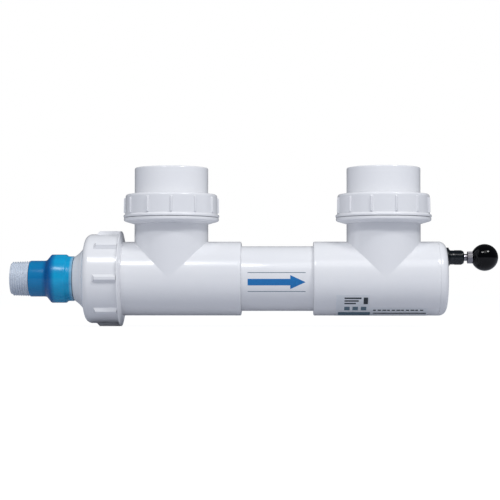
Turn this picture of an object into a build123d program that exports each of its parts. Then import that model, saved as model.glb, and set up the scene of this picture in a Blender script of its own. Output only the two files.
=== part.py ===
from build123d import *
import os

# Inline ultraviolet clarifier for a pond: two pipe tees joined by one length of 2 inch pipe.
# The lamp lies in a quartz sleeve on the axis and comes out at the left, behind a blue cap.
# A ring on a rod wipes the sleeve and is pulled by the ball knob at the right.
# Frame: origin on the housing's axis, midway between the ports. +X towards the knob, +Z up
# the ports. Lengths are millimetres.

# Pipe and fittings, 2 inch schedule 40. SOCKET_STOP is from a tee's centre to its socket stops.
PIPE_R = 30.15
PIPE_BORE_R = 26.25
HUB_R = 34.4
SOCKET_R = 30.2
SEAT_GAP = 0.5
PORT_X = 99.0
ARM = 65.5
SOCKET_STOP = 27.5
GLUE_LINE = 0.05
RIGHT_ARM_END = 149.0

# Closed right end
CAP_FACE_X = 156.7
CAP_WALL = 7.5
CAP_EDGE_R = 7.0

# Clearance of the union threads, which are plain here, and the gap between seated faces
THREAD_GAP = 0.4
FACE_GAP = 0.2

# Port unions, heights above the housing's axis
COLLAR_FOOT_Z = 51.0
COLLAR_FLANGE_Z = 53.3
COLLAR_FLANGE_R = 44.3
COLLAR_RIM_Z = 56.6
COLLAR_TOP_Z = 66.0
PORT_THREAD_R = 40.2
PORT_NUT_FOOT_Z = 57.0
PORT_NUT_TOP_Z = 78.5
PORT_NUT_RIM_R = 44.7
PORT_NUT_PANEL_R = 43.1
PORT_NUT_SHOULDER_Z = 75.8
PORT_NUT_RIBS = 12
CONNECTOR_FLANGE_R = 38.0
CONNECTOR_R = 34.3
CONNECTOR_TOP_Z = 103.3
CONNECTOR_STOP_Z = 68.3
CONNECTOR_RIM_ROUND = 1.2
CONNECTOR_MOUTH_ROUND = 0.8
PORT_NUT_RIM = 2.2
PORT_NUT_RIM_SLOPE = 1.0
PORT_NUT_DRAFT = 0.4
PORT_NUT_ROUND = 2.2
PORT_NUT_MOUTH_GAP = 0.7
PORT_RIB_WIDTH = 2.2
PORT_RIB_PROUD = 1.6
PORT_RIB_FOOT = 1.4
PORT_RIB_HEAD = 0.4
GROOVE_LAND = 1.0
FLANGE_EDGE = 0.8
ORING_GROOVE_DEPTH = 2.6
ORING_ROUND = 0.9
ORING_PROUD = 0.1
EDGE_ROUND = 0.5

# Housing union at the left, places along the axis
UNION_FLANGE_R = 44.4
UNION_FLANGE_START_X = -143.3
UNION_FLANGE_EDGE_X = -145.4
UNION_FLANGE_BACK_X = -146.3
UNION_FLANGE_FOOT = 0.6
UNION_THREAD_R = 38.0
TEE_END_X = -(PORT_X + ARM)
UNION_NUT_START_X = -146.6
UNION_NUT_R = 41.5
UNION_NUT_RIB_R = 44.4
UNION_NUT_RIBS = 8
UNION_NUT_SHOULDER_X = -172.8
UNION_NUT_END_X = -180.3
UNION_NUT_MOUTH_R = 29.2
UNION_NUT_DISH = 2.9
UNION_NUT_ROUND = 6.0
UNION_RIB_FOOT_X = -168.4
UNION_RIB_RAMP = 3.5
UNION_RIB_TIP = 0.7
UNION_RIB_BASE = 4.8
UNION_RIB_SINK = 1.5
UNION_RIB_TAIL = 1.0

# Head: the piece that carries the sleeve and closes the housing
HEAD_FLANGE_R = 37.6
HEAD_PILOT_R = 29.6
HEAD_PILOT_X = -150.5
HEAD_HUB_R = 28.6
HEAD_CONE_X = -180.6
HEAD_NECK_X = -189.6
HEAD_NECK_FOOT_R = 20.3
HEAD_NECK_R = 18.6
HEAD_END_X = -203.0
HEAD_BORE_R = 11.9
HEAD_END_ROUND = 0.8
HEAD_GROOVE_IN_R = 31.2
HEAD_GROOVE_OUT_R = 34.6

# Quartz sleeve and its seal
SLEEVE_R = 11.5
SLEEVE_BORE_R = 10.0
SLEEVE_OPEN_X = -205.0
SLEEVE_TIP_X = 130.0
GLAND_SEAT_R = 15.5
GLAND_SEAT_X = -197.8
SLEEVE_ORING_X = -201.0
COMPRESSION_END_X = -205.2
COMPRESSION_GAP = 0.3
SLEEVE_SEAL_ROUND = 1.2

# Blue lamp cap
CAP_MOUTH_X = -189.9
CAP_MOUTH_R = 20.9
CAP_GRIP_X = -196.0
CAP_GRIP_R = 22.6
CAP_FLARE_X = -210.8
CAP_TAIL_X = -215.5
CAP_TAIL_R = 16.8
CAP_END_X = -231.2
CAP_SHOULDER_X = -205.5
CAP_CHAMBER_R = 15.0
CAP_CHAMBER_X = -214.5
CAP_TAIL_BORE_R = 12.9
CAP_STEP = 0.8
CAP_STEP_SLOPE = 1.0
CAP_ROUNDS = {1: 0.4, 4: 0.8, 5: 1.5, 6: 1.0}

# Threaded nipple for the lamp lead, 1 inch taper thread
NIPPLE_R = 16.3
NIPPLE_END_X = -249.0
NIPPLE_SPIGOT_R = 12.5
NIPPLE_BORE_R = 9.7
NIPPLE_INNER_X = -211.0
NIPPLE_CHAMFER = (1.3, 1.8)
NIPPLE_ENTRY = 2.0
NIPPLE_ENTRY_GAP = 4.0
RETAINER_R = 14.6
RETAINER_START_X = -211.2

# Lamp
SOCKET_BODY_R = 9.6
SOCKET_FACE_X = -207.4
SOCKET_BACK_X = -229.0
LAMP_TUBE_R = 8.0
LAMP_WALL = 0.9
LAMP_BASE_R = 9.3
LAMP_BASE_LENGTH = 18.0
LAMP_BASE_LIP = 3.0
LAMP_TIP_X = 116.0
PIN_R = 1.15
PIN_CIRCLE_R = 4.5
PIN_LENGTH = 8.0
PIN_HOLE_GAP = 0.1
PIN_HOLE_EXTRA = 1.0
RETURN_WIRE_R = 0.4
RETURN_WIRE_Z = -8.6

# Sleeve support in the right end
SUPPORT_R = 14.5
SUPPORT_BORE_R = 12.0
SUPPORT_MOUTH_X = 121.0
BUMPER_X = 130.8
SUPPORT_FLOOR = 4.0
BUMPER_GAP = 0.1

# Wiper
ROD_Z = 19.6
ROD_R = 3.175
ROD_END_X = -147.0
RING_START_X = -141.0
RING_END_X = -129.0
RING_R = 16.5
RING_BORE_R = 12.2
BOSS_R = 4.6
WIPER_LIP_R = 11.58
WIPER_GROOVE_R = 14.0
WIPER_LIP_WIDTH = 3.0
WIPER_LIP_INSET = 2.0
WEB_TRIM = 0.6
WEB_OVERLAP = 4.0
ROD_NUT_FLATS = 11.1
ROD_NUT_THICK = 4.0

# Wiper gland, jam nut and ball
WASHER_R = 9.25
WASHER_X = 160.4
GLAND_R = 6.8
GLAND_SHANK_R = 5.0
GLAND_SPLIT_X = 164.0
GLAND_END_X = 173.3
GLAND_SEAL_R = 4.9
JAM_NUT_START_X = 176.8
JAM_NUT_END_X = 181.3
BALL_R = 12.5
BALL_X = 192.8
ROD_IN_BALL_X = 190.8
BALL_HOLE_X = 191.8
GLAND_SEAL_LIP = 1.4
GLAND_SEAL_SEAT_X = 161.0
GLAND_NUT_CHAMFER = (1.4, 1.6)
GLAND_ROD_GAP = 0.3
SEAL_ROD_GAP = 0.08
WASHER_EDGE = 2.1
WASHER_NECK = 0.5
NUT_CORNER = 1.155
NUT_CHAMFER_SHARE = 0.6


def turned(outline, rounds=None):
    """Solid of revolution about Z. Points are (radius, height); rounds is {point number: radius}."""
    rounds = rounds or {}
    radii = [rounds.get(number, 0) for number in range(len(outline))]
    section = make_face(FilletPolyline(*outline, radius=radii, close=True))
    return revolve(Plane.XZ * section, axis=Axis.Z)


def ring(inner, outer, start, end):
    """Plain ring about Z."""
    return turned([(inner, start), (outer, start), (outer, end), (inner, end)])


def bar(radius, start, end):
    """Plain round bar about Z."""
    return Pos(0, 0, start) * Cylinder(radius, end - start, align=(Align.CENTER, Align.CENTER, Align.MIN))


def along_run(solid):
    """Turn a piece made about Z so that it lies along the housing: height becomes X."""
    return Rot(0, 90, 0) * solid


def on_rod(solid):
    """Lay a piece made about Z along the wiper rod."""
    return Pos(0, 0, ROD_Z) * along_run(solid)


def hexagon(flats, start, end, bore):
    """Hexagon nut about Z with chamfered corners and a plain bore."""
    corner_r = flats / 2 * NUT_CORNER
    edge = (corner_r - flats / 2) * NUT_CHAMFER_SHARE
    outline = RegularPolygon(flats / 2, 6, major_radius=False, rotation=30)
    body = Pos(0, 0, start) * extrude(outline, end - start)
    limit = turned([(0, start), (corner_r - edge, start), (corner_r, start + edge), (corner_r, end - edge),
                    (corner_r - edge, end), (0, end)])
    return body & limit - bar(bore, start, end)


def tee(x, left, right):
    """Tee with a socket in each end of its run, left and right, and a plain bored branch at x."""
    outside = along_run(bar(HUB_R, left, right)) + Pos(x, 0, 0) * bar(HUB_R, 0, ARM)
    inside = along_run(bar(PIPE_BORE_R, left, right)) + Pos(x, 0, 0) * bar(PIPE_BORE_R, 0, ARM)
    inside += along_run(bar(SOCKET_R, left, x - SOCKET_STOP))
    inside += along_run(bar(SOCKET_R, x + SOCKET_STOP, right))
    return outside - inside


def body_pipe():
    """Length of pipe glued between the two tees."""
    half = PORT_X - SOCKET_STOP - SEAT_GAP
    return along_run(ring(PIPE_BORE_R, PIPE_R, -half, half))


def end_cap():
    """Spigot cap that closes the right end, bored above its centre for the wiper gland."""
    spigot_end = PORT_X + SOCKET_STOP + SEAT_GAP
    outline = [
        (0, CAP_FACE_X - CAP_WALL),
        (PIPE_BORE_R, CAP_FACE_X - CAP_WALL),
        (PIPE_BORE_R, spigot_end),
        (PIPE_R, spigot_end),
        (PIPE_R, RIGHT_ARM_END),
        (HUB_R, RIGHT_ARM_END),
        (HUB_R, CAP_FACE_X),
        (0, CAP_FACE_X),
    ]
    cap = along_run(turned(outline, {1: 2.0, 6: CAP_EDGE_R}))
    return cap - on_rod(bar(GLAND_SHANK_R, CAP_FACE_X - 2 * CAP_WALL, CAP_FACE_X))


def port_collar(x):
    """Threaded half of a port union, glued round the tee's branch, with a groove in its top face."""
    glued_r = HUB_R + GLUE_LINE
    groove_inner = glued_r + GROOVE_LAND
    groove_outer = PORT_THREAD_R - GROOVE_LAND
    outline = [
        (glued_r, COLLAR_FOOT_Z),
        (glued_r + GROOVE_LAND, COLLAR_FOOT_Z),
        (COLLAR_FLANGE_R - FLANGE_EDGE, COLLAR_FLANGE_Z),
        (COLLAR_FLANGE_R, COLLAR_FLANGE_Z + FLANGE_EDGE),
        (COLLAR_FLANGE_R, COLLAR_RIM_Z),
        (PORT_THREAD_R, COLLAR_RIM_Z),
        (PORT_THREAD_R, COLLAR_TOP_Z),
        (groove_outer, COLLAR_TOP_Z),
        (groove_outer, COLLAR_TOP_Z - ORING_GROOVE_DEPTH),
        (groove_inner, COLLAR_TOP_Z - ORING_GROOVE_DEPTH),
        (groove_inner, COLLAR_TOP_Z),
        (glued_r, COLLAR_TOP_Z),
    ]
    return Pos(x, 0, 0) * turned(outline)


def seal(inner, outer, start, end):
    """O-ring about Z, squeezed to a round-cornered section."""
    outline = [(inner, start), (outer, start), (outer, end), (inner, end)]
    return turned(outline, {0: ORING_ROUND, 1: ORING_ROUND, 2: ORING_ROUND, 3: ORING_ROUND})


def port_oring(x):
    """Seal of a port union, squeezed almost flush in the collar's groove."""
    inner = HUB_R + GLUE_LINE + GROOVE_LAND
    outer = PORT_THREAD_R - GROOVE_LAND
    return Pos(x, 0, 0) * seal(inner, outer, COLLAR_TOP_Z - ORING_GROOVE_DEPTH, COLLAR_TOP_Z + ORING_PROUD)


def end_connector(x):
    """Loose half of a port union: a flange held by the nut, and a socket for the pond pipe."""
    bottom = COLLAR_TOP_Z + FACE_GAP
    outline = [
        (PIPE_BORE_R, bottom),
        (CONNECTOR_FLANGE_R, bottom),
        (CONNECTOR_FLANGE_R, PORT_NUT_SHOULDER_Z - FACE_GAP),
        (CONNECTOR_R, PORT_NUT_SHOULDER_Z - FACE_GAP),
        (CONNECTOR_R, CONNECTOR_TOP_Z),
        (SOCKET_R, CONNECTOR_TOP_Z),
        (SOCKET_R, CONNECTOR_STOP_Z),
        (PIPE_BORE_R, CONNECTOR_STOP_Z),
    ]
    return Pos(x, 0, 0) * turned(outline, {4: CONNECTOR_RIM_ROUND, 5: CONNECTOR_MOUTH_ROUND})


def port_nut(x, first_rib):
    """Union nut with upright grip ribs. The first rib is turned first_rib degrees from the front."""
    bore_r = PORT_THREAD_R + THREAD_GAP
    mouth_r = CONNECTOR_R + PORT_NUT_MOUTH_GAP
    rim_z = PORT_NUT_FOOT_Z + PORT_NUT_RIM
    outline = [
        (bore_r, PORT_NUT_FOOT_Z),
        (PORT_NUT_RIM_R, PORT_NUT_FOOT_Z),
        (PORT_NUT_RIM_R, rim_z),
        (PORT_NUT_PANEL_R, rim_z + PORT_NUT_RIM_SLOPE),
        (PORT_NUT_PANEL_R - PORT_NUT_DRAFT, PORT_NUT_TOP_Z),
        (mouth_r, PORT_NUT_TOP_Z),
        (mouth_r, PORT_NUT_SHOULDER_Z),
        (bore_r, PORT_NUT_SHOULDER_Z),
    ]
    nut = turned(outline, {1: EDGE_ROUND, 4: PORT_NUT_ROUND})
    rib_low = rim_z + PORT_RIB_FOOT
    rib_high = PORT_NUT_SHOULDER_Z - PORT_RIB_HEAD
    rib = Pos(PORT_NUT_PANEL_R, 0, (rib_low + rib_high) / 2)
    rib *= Box(2 * PORT_RIB_PROUD, PORT_RIB_WIDTH, rib_high - rib_low)
    for number in range(PORT_NUT_RIBS):
        nut += Rot(0, 0, -90 + first_rib + number * 360 / PORT_NUT_RIBS) * rib
    return Pos(x, 0, 0) * nut


def housing_collar():
    """Threaded half of the housing union, glued round the left arm of the inlet tee."""
    glued_r = HUB_R + GLUE_LINE
    outline = [
        (glued_r, UNION_FLANGE_START_X),
        (glued_r + UNION_FLANGE_FOOT, UNION_FLANGE_START_X),
        (UNION_FLANGE_R, UNION_FLANGE_EDGE_X),
        (UNION_FLANGE_R, UNION_FLANGE_BACK_X),
        (UNION_THREAD_R, UNION_FLANGE_BACK_X),
        (UNION_THREAD_R, TEE_END_X),
        (glued_r, TEE_END_X),
    ]
    return along_run(turned(outline))


def housing_nut():
    """Large union nut with a rounded shoulder and eight wedge ribs, which end in a ramp."""
    bore_r = UNION_THREAD_R + THREAD_GAP
    outline = [
        (bore_r, UNION_NUT_START_X),
        (UNION_NUT_R, UNION_NUT_START_X),
        (UNION_NUT_R, UNION_NUT_END_X + UNION_NUT_DISH),
        (UNION_NUT_MOUTH_R, UNION_NUT_END_X),
        (UNION_NUT_MOUTH_R, UNION_NUT_SHOULDER_X),
        (bore_r, UNION_NUT_SHOULDER_X),
    ]
    nut = turned(outline, {2: UNION_NUT_ROUND})
    root = UNION_NUT_R - UNION_RIB_SINK
    tail = UNION_RIB_FOOT_X - UNION_RIB_TAIL
    side = Polyline((root, UNION_NUT_START_X), (UNION_NUT_RIB_R, UNION_NUT_START_X),
                    (UNION_NUT_RIB_R, UNION_RIB_FOOT_X + UNION_RIB_RAMP), (root, tail), close=True)
    across = Polyline((root, -UNION_RIB_BASE), (UNION_NUT_RIB_R, -UNION_RIB_TIP),
                      (UNION_NUT_RIB_R, UNION_RIB_TIP), (root, UNION_RIB_BASE), close=True)
    length = Pos(0, 0, tail) * extrude(make_face(across), UNION_NUT_START_X - tail)
    rib = length & extrude(Plane.XZ * make_face(side), UNION_RIB_BASE, both=True)
    for number in range(UNION_NUT_RIBS):
        nut += Rot(0, 0, number * 360 / UNION_NUT_RIBS) * rib
    return along_run(nut)


def housing_head():
    """Head: pilot ring, sealing flange, cone and threaded neck, bored for the sleeve."""
    seat_x = TEE_END_X - FACE_GAP
    flange_back = UNION_NUT_SHOULDER_X + FACE_GAP
    outline = [
        (PIPE_BORE_R, HEAD_PILOT_X),
        (HEAD_PILOT_R, HEAD_PILOT_X),
        (HEAD_PILOT_R, seat_x),
        (HEAD_GROOVE_IN_R, seat_x),
        (HEAD_GROOVE_IN_R, seat_x - ORING_GROOVE_DEPTH),
        (HEAD_GROOVE_OUT_R, seat_x - ORING_GROOVE_DEPTH),
        (HEAD_GROOVE_OUT_R, seat_x),
        (HEAD_FLANGE_R, seat_x),
        (HEAD_FLANGE_R, flange_back),
        (HEAD_HUB_R, flange_back),
        (HEAD_HUB_R, HEAD_CONE_X),
        (HEAD_NECK_FOOT_R, HEAD_NECK_X),
        (HEAD_NECK_R, HEAD_NECK_X),
        (HEAD_NECK_R, HEAD_END_X),
        (GLAND_SEAT_R, HEAD_END_X),
        (GLAND_SEAT_R, GLAND_SEAT_X),
        (HEAD_BORE_R, GLAND_SEAT_X),
        (HEAD_BORE_R, seat_x),
        (PIPE_BORE_R, seat_x),
    ]
    return along_run(turned(outline, {13: HEAD_END_ROUND}))


def housing_oring():
    """Seal of the housing union, carried in the head's groove."""
    seat_x = TEE_END_X - FACE_GAP
    groove_x = seat_x - ORING_GROOVE_DEPTH
    return along_run(seal(HEAD_GROOVE_IN_R, HEAD_GROOVE_OUT_R, groove_x, seat_x + ORING_PROUD))


def quartz_sleeve():
    """Clear quartz tube, open at the left and closed by a dome at the right."""
    outer_centre = SLEEVE_TIP_X - SLEEVE_R
    outside = bar(SLEEVE_R, SLEEVE_OPEN_X, outer_centre) + Pos(0, 0, outer_centre) * Sphere(SLEEVE_R)
    inside = bar(SLEEVE_BORE_R, SLEEVE_OPEN_X, outer_centre) + Pos(0, 0, outer_centre) * Sphere(SLEEVE_BORE_R)
    return along_run(outside - inside)


def sleeve_oring():
    """Seal squeezed between the sleeve and the seat in the neck."""
    inner, outer = SLEEVE_R + GLUE_LINE, GLAND_SEAT_R - GLUE_LINE
    outline = [(inner, SLEEVE_ORING_X), (outer, SLEEVE_ORING_X), (outer, GLAND_SEAT_X), (inner, GLAND_SEAT_X)]
    rounds = {number: SLEEVE_SEAL_ROUND for number in range(4)}
    return along_run(turned(outline, rounds))


def compression_ring():
    """Hard ring that the cap presses against the sleeve's seal."""
    inner, outer = SLEEVE_R + COMPRESSION_GAP, GLAND_SEAT_R - COMPRESSION_GAP
    return along_run(ring(inner, outer, COMPRESSION_END_X, SLEEVE_ORING_X - GLUE_LINE))


def lamp_cap():
    """Blue cap: threaded mouth, grip barrel, flare and a narrow tail that the nipple turns in."""
    outline = [
        (HEAD_NECK_R + THREAD_GAP, CAP_MOUTH_X),
        (CAP_MOUTH_R, CAP_MOUTH_X),
        (CAP_MOUTH_R, CAP_GRIP_X + CAP_STEP),
        (CAP_GRIP_R, CAP_GRIP_X - CAP_STEP_SLOPE),
        (CAP_GRIP_R, CAP_FLARE_X),
        (CAP_TAIL_R, CAP_TAIL_X),
        (CAP_TAIL_R, CAP_END_X),
        (CAP_TAIL_BORE_R, CAP_END_X),
        (CAP_TAIL_BORE_R, CAP_CHAMBER_X),
        (CAP_CHAMBER_R, CAP_CHAMBER_X),
        (CAP_CHAMBER_R, CAP_SHOULDER_X),
        (HEAD_NECK_R + THREAD_GAP, CAP_SHOULDER_X),
    ]
    return along_run(turned(outline, CAP_ROUNDS))


def conduit_nipple():
    """Threaded nipple for the lamp lead, with a spigot that turns in the cap's tail."""
    outline = [
        (NIPPLE_BORE_R, NIPPLE_INNER_X),
        (NIPPLE_SPIGOT_R, NIPPLE_INNER_X),
        (NIPPLE_SPIGOT_R, CAP_END_X - FACE_GAP),
        (NIPPLE_R, CAP_END_X - FACE_GAP),
        (NIPPLE_R, NIPPLE_END_X + NIPPLE_CHAMFER[1]),
        (NIPPLE_R - NIPPLE_CHAMFER[0], NIPPLE_END_X),
        (NIPPLE_BORE_R + NIPPLE_ENTRY, NIPPLE_END_X),
        (NIPPLE_BORE_R + NIPPLE_ENTRY, SOCKET_BACK_X - NIPPLE_ENTRY_GAP),
        (NIPPLE_BORE_R, SOCKET_BACK_X - NIPPLE_ENTRY_GAP),
    ]
    return along_run(turned(outline))


def nipple_retainer():
    """Ring pressed on the nipple's spigot, so that the cap can turn but not come off."""
    return along_run(ring(NIPPLE_SPIGOT_R, RETAINER_R, CAP_CHAMBER_X + FACE_GAP, RETAINER_START_X))


def around_pins(solid):
    """Four copies of a piece made about Z, on the circle of the lamp's pins."""
    return [Rot(0, 0, 45 + 90 * number) * Pos(PIN_CIRCLE_R, 0, 0) * solid for number in range(4)]


def lamp_socket():
    """Socket cemented in the nipple, with four pin holes in its face."""
    body = bar(SOCKET_BODY_R, SOCKET_BACK_X, SOCKET_FACE_X)
    hole_end = SOCKET_FACE_X - PIN_LENGTH - PIN_HOLE_EXTRA
    for hole in around_pins(bar(PIN_R + PIN_HOLE_GAP, hole_end, SOCKET_FACE_X)):
        body -= hole
    return along_run(body)


def lamp_pins():
    """Four contact pins of the lamp, in the socket's holes."""
    pins = around_pins(bar(PIN_R, SOCKET_FACE_X - PIN_LENGTH, SOCKET_FACE_X + FACE_GAP))
    return along_run(Compound(children=pins))


def lamp_base(start, end, mouth):
    """Ceramic end of the lamp: a cup whose open side, at mouth, grips the tube."""
    cup = bar(LAMP_BASE_R, start, end)
    depth = (LAMP_BASE_LENGTH - LAMP_BASE_LIP) * (1 if mouth == end else -1)
    low, high = sorted((mouth, mouth - depth))
    return along_run(cup - bar(LAMP_TUBE_R + GLUE_LINE, low, high))


def lamp_tube(start, end):
    """Quartz discharge tube, cemented in both bases."""
    return along_run(ring(LAMP_TUBE_R - LAMP_WALL, LAMP_TUBE_R, start, end))


def return_wire(start, end):
    """Wire that brings the far electrode back along the outside of the tube."""
    return Pos(0, 0, RETURN_WIRE_Z) * along_run(bar(RETURN_WIRE_R, start, end))


def sleeve_support():
    """Cup glued in the right end, which steadies the closed end of the sleeve."""
    cup = bar(SUPPORT_R, SUPPORT_MOUTH_X, CAP_FACE_X - CAP_WALL)
    return along_run(cup - bar(SUPPORT_BORE_R, SUPPORT_MOUTH_X, CAP_FACE_X - CAP_WALL - SUPPORT_FLOOR))


def sleeve_bumper():
    """Soft disc at the bottom of the support cup."""
    return along_run(bar(SUPPORT_BORE_R - BUMPER_GAP, BUMPER_X, CAP_FACE_X - CAP_WALL - SUPPORT_FLOOR))


def wiper_carriage():
    """Ring round the sleeve, with two grooves for wiping lips and an ear for the rod."""
    ear = Pos(0, 0, ROD_Z) * along_run(bar(BOSS_R, RING_START_X, RING_END_X))
    web = Pos((RING_START_X + RING_END_X) / 2, 0, (RING_R + ROD_Z) / 2)
    web *= Box(RING_END_X - RING_START_X, 2 * BOSS_R - WEB_TRIM, ROD_Z - RING_R + WEB_OVERLAP)
    body = along_run(bar(RING_R, RING_START_X, RING_END_X)) + ear + web
    body -= along_run(bar(RING_BORE_R, RING_START_X, RING_END_X))
    for start in lip_starts():
        body -= along_run(bar(WIPER_GROOVE_R, start, start + WIPER_LIP_WIDTH))
    return body - on_rod(bar(ROD_R + GLUE_LINE, RING_START_X, RING_END_X))


def lip_starts():
    """Where the two wiping lips begin along the axis."""
    return [RING_START_X + WIPER_LIP_INSET, RING_END_X - WIPER_LIP_INSET - WIPER_LIP_WIDTH]


def wiper_rings():
    """Two rubber rings in the carriage that rub the sleeve clean."""
    lips = [ring(WIPER_LIP_R, WIPER_GROOVE_R, start, start + WIPER_LIP_WIDTH) for start in lip_starts()]
    return along_run(Compound(children=lips))


def carriage_nuts():
    """Two nuts that clamp the carriage on the rod."""
    behind = hexagon(ROD_NUT_FLATS, RING_START_X - ROD_NUT_THICK, RING_START_X, ROD_R + GLUE_LINE)
    ahead = hexagon(ROD_NUT_FLATS, RING_END_X, RING_END_X + ROD_NUT_THICK, ROD_R + GLUE_LINE)
    return on_rod(Compound(children=[behind, ahead]))


def wiper_rod():
    """Stainless rod from the carriage to the ball."""
    return on_rod(bar(ROD_R, ROD_END_X, ROD_IN_BALL_X))


def gland_washer():
    """Flared flange between the gland and the end cap."""
    outline = [(GLAND_SHANK_R, CAP_FACE_X), (WASHER_R, CAP_FACE_X), (WASHER_R, CAP_FACE_X + WASHER_EDGE),
               (GLAND_R + WASHER_NECK, WASHER_X), (GLAND_SHANK_R, WASHER_X)]
    return on_rod(turned(outline))


def gland_body():
    """Gland screwed into the end cap, bored for the seal."""
    outline = [
        (GLAND_SEAL_R - GLAND_SEAL_LIP, CAP_FACE_X - CAP_WALL),
        (GLAND_SHANK_R, CAP_FACE_X - CAP_WALL),
        (GLAND_SHANK_R, WASHER_X),
        (GLAND_R, WASHER_X),
        (GLAND_R, GLAND_SPLIT_X),
        (GLAND_SEAL_R, GLAND_SPLIT_X),
        (GLAND_SEAL_R, GLAND_SEAL_SEAT_X),
        (GLAND_SEAL_R - GLAND_SEAL_LIP, GLAND_SEAL_SEAT_X),
    ]
    return on_rod(turned(outline))


def gland_seal():
    """Rubber sleeve that the rod slides through."""
    return on_rod(ring(ROD_R + SEAL_ROD_GAP, GLAND_SEAL_R, GLAND_SEAL_SEAT_X, GLAND_SPLIT_X))


def gland_nut():
    """Dome nut that squeezes the gland's seal on the rod."""
    outline = [
        (ROD_R + GLAND_ROD_GAP, GLAND_SPLIT_X),
        (GLAND_R, GLAND_SPLIT_X),
        (GLAND_R, GLAND_END_X - GLAND_NUT_CHAMFER[1]),
        (GLAND_R - GLAND_NUT_CHAMFER[0], GLAND_END_X),
        (ROD_R + GLAND_ROD_GAP, GLAND_END_X),
    ]
    return on_rod(turned(outline))


def jam_nut():
    """Nut that locks the ball on the rod."""
    return on_rod(hexagon(ROD_NUT_FLATS, JAM_NUT_START_X, JAM_NUT_END_X, ROD_R + GLUE_LINE))


def ball_knob():
    """Ball with a flat where it meets the jam nut, tapped for the rod."""
    ball = Pos(0, 0, BALL_X) * Sphere(BALL_R)
    ball -= bar(BALL_R, BALL_X - 2 * BALL_R, JAM_NUT_END_X)
    return on_rod(ball - bar(ROD_R + GLUE_LINE, JAM_NUT_END_X, BALL_HOLE_X))


NEAR_BASE_X = SOCKET_FACE_X + FACE_GAP
NEAR_MOUTH_X = NEAR_BASE_X + LAMP_BASE_LENGTH
FAR_MOUTH_X = LAMP_TIP_X - LAMP_BASE_LENGTH

nodes = {
    "inlet_tee": tee(-PORT_X, TEE_END_X, ARM - PORT_X),
    "outlet_tee": tee(PORT_X, PORT_X - ARM, RIGHT_ARM_END),
    "body_pipe": body_pipe(),
    "end_cap": end_cap(),
    "inlet_collar": port_collar(-PORT_X),
    "outlet_collar": port_collar(PORT_X),
    "inlet_oring": port_oring(-PORT_X),
    "outlet_oring": port_oring(PORT_X),
    "inlet_end_connector": end_connector(-PORT_X),
    "outlet_end_connector": end_connector(PORT_X),
    "inlet_nut": port_nut(-PORT_X, 4),
    "outlet_nut": port_nut(PORT_X, 12),
    "housing_collar": housing_collar(),
    "housing_nut": housing_nut(),
    "housing_head": housing_head(),
    "housing_oring": housing_oring(),
    "quartz_sleeve": quartz_sleeve(),
    "sleeve_oring": sleeve_oring(),
    "compression_ring": compression_ring(),
    "sleeve_support": sleeve_support(),
    "sleeve_bumper": sleeve_bumper(),
    "lamp_cap": lamp_cap(),
    "conduit_nipple": conduit_nipple(),
    "nipple_retainer": nipple_retainer(),
    "lamp_socket": lamp_socket(),
    "lamp_pins": lamp_pins(),
    "lamp_base_near": lamp_base(NEAR_BASE_X, NEAR_MOUTH_X, NEAR_MOUTH_X),
    "lamp_base_far": lamp_base(FAR_MOUTH_X, LAMP_TIP_X, FAR_MOUTH_X),
    "lamp_tube": lamp_tube(NEAR_BASE_X + LAMP_BASE_LIP, LAMP_TIP_X - LAMP_BASE_LIP),
    "lamp_return_wire": return_wire(NEAR_MOUTH_X, FAR_MOUTH_X),
    "wiper_carriage": wiper_carriage(),
    "wiper_rings": wiper_rings(),
    "carriage_nuts": carriage_nuts(),
    "wiper_rod": wiper_rod(),
    "gland_washer": gland_washer(),
    "gland_body": gland_body(),
    "gland_seal": gland_seal(),
    "gland_nut": gland_nut(),
    "jam_nut": jam_nut(),
    "ball_knob": ball_knob(),
}

os.makedirs("parts", exist_ok=True)
for name, solid in nodes.items():
    export_step(solid, os.path.join("parts", name + ".step"))
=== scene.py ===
import bmesh
import bpy
import math
from mathutils import Matrix, Vector


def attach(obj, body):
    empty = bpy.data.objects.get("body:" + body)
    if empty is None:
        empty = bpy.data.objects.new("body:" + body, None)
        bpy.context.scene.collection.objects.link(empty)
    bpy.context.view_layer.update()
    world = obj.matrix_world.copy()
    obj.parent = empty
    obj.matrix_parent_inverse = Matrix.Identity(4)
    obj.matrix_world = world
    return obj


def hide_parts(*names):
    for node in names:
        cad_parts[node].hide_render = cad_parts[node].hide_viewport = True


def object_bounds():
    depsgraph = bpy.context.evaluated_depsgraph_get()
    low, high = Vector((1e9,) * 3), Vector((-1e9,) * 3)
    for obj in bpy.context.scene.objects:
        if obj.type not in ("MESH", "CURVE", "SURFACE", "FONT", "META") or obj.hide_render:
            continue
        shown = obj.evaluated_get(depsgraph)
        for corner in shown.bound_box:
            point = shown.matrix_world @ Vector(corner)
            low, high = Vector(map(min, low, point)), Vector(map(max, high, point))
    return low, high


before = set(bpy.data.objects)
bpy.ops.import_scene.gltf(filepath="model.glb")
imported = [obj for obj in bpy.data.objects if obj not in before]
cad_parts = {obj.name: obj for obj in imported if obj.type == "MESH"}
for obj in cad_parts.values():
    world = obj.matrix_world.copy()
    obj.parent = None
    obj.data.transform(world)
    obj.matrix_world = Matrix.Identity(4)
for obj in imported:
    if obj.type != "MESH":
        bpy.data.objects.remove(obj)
cad_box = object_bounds()


# Studio. The camera stands level with the housing, a long lens away and a little right of its
# middle. Three soft boxes hang in front of the object, 47 degrees up, over a plain pale floor.
CAMERA_PLACE = (0.009, -1.400, -0.0117)
AIM_POINT = (-0.0255, 0, 0.0267)
LENS = 108
camera = bpy.data.objects.new("camera", bpy.data.cameras.new("camera"))
camera.location = CAMERA_PLACE
camera.rotation_euler = (Vector(AIM_POINT) - camera.location).to_track_quat("-Z", "Y").to_euler()
camera.data.lens = LENS
bpy.context.scene.collection.objects.link(camera)
bpy.context.scene.camera = camera
bpy.context.scene.view_settings.view_transform = "Standard"

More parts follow.
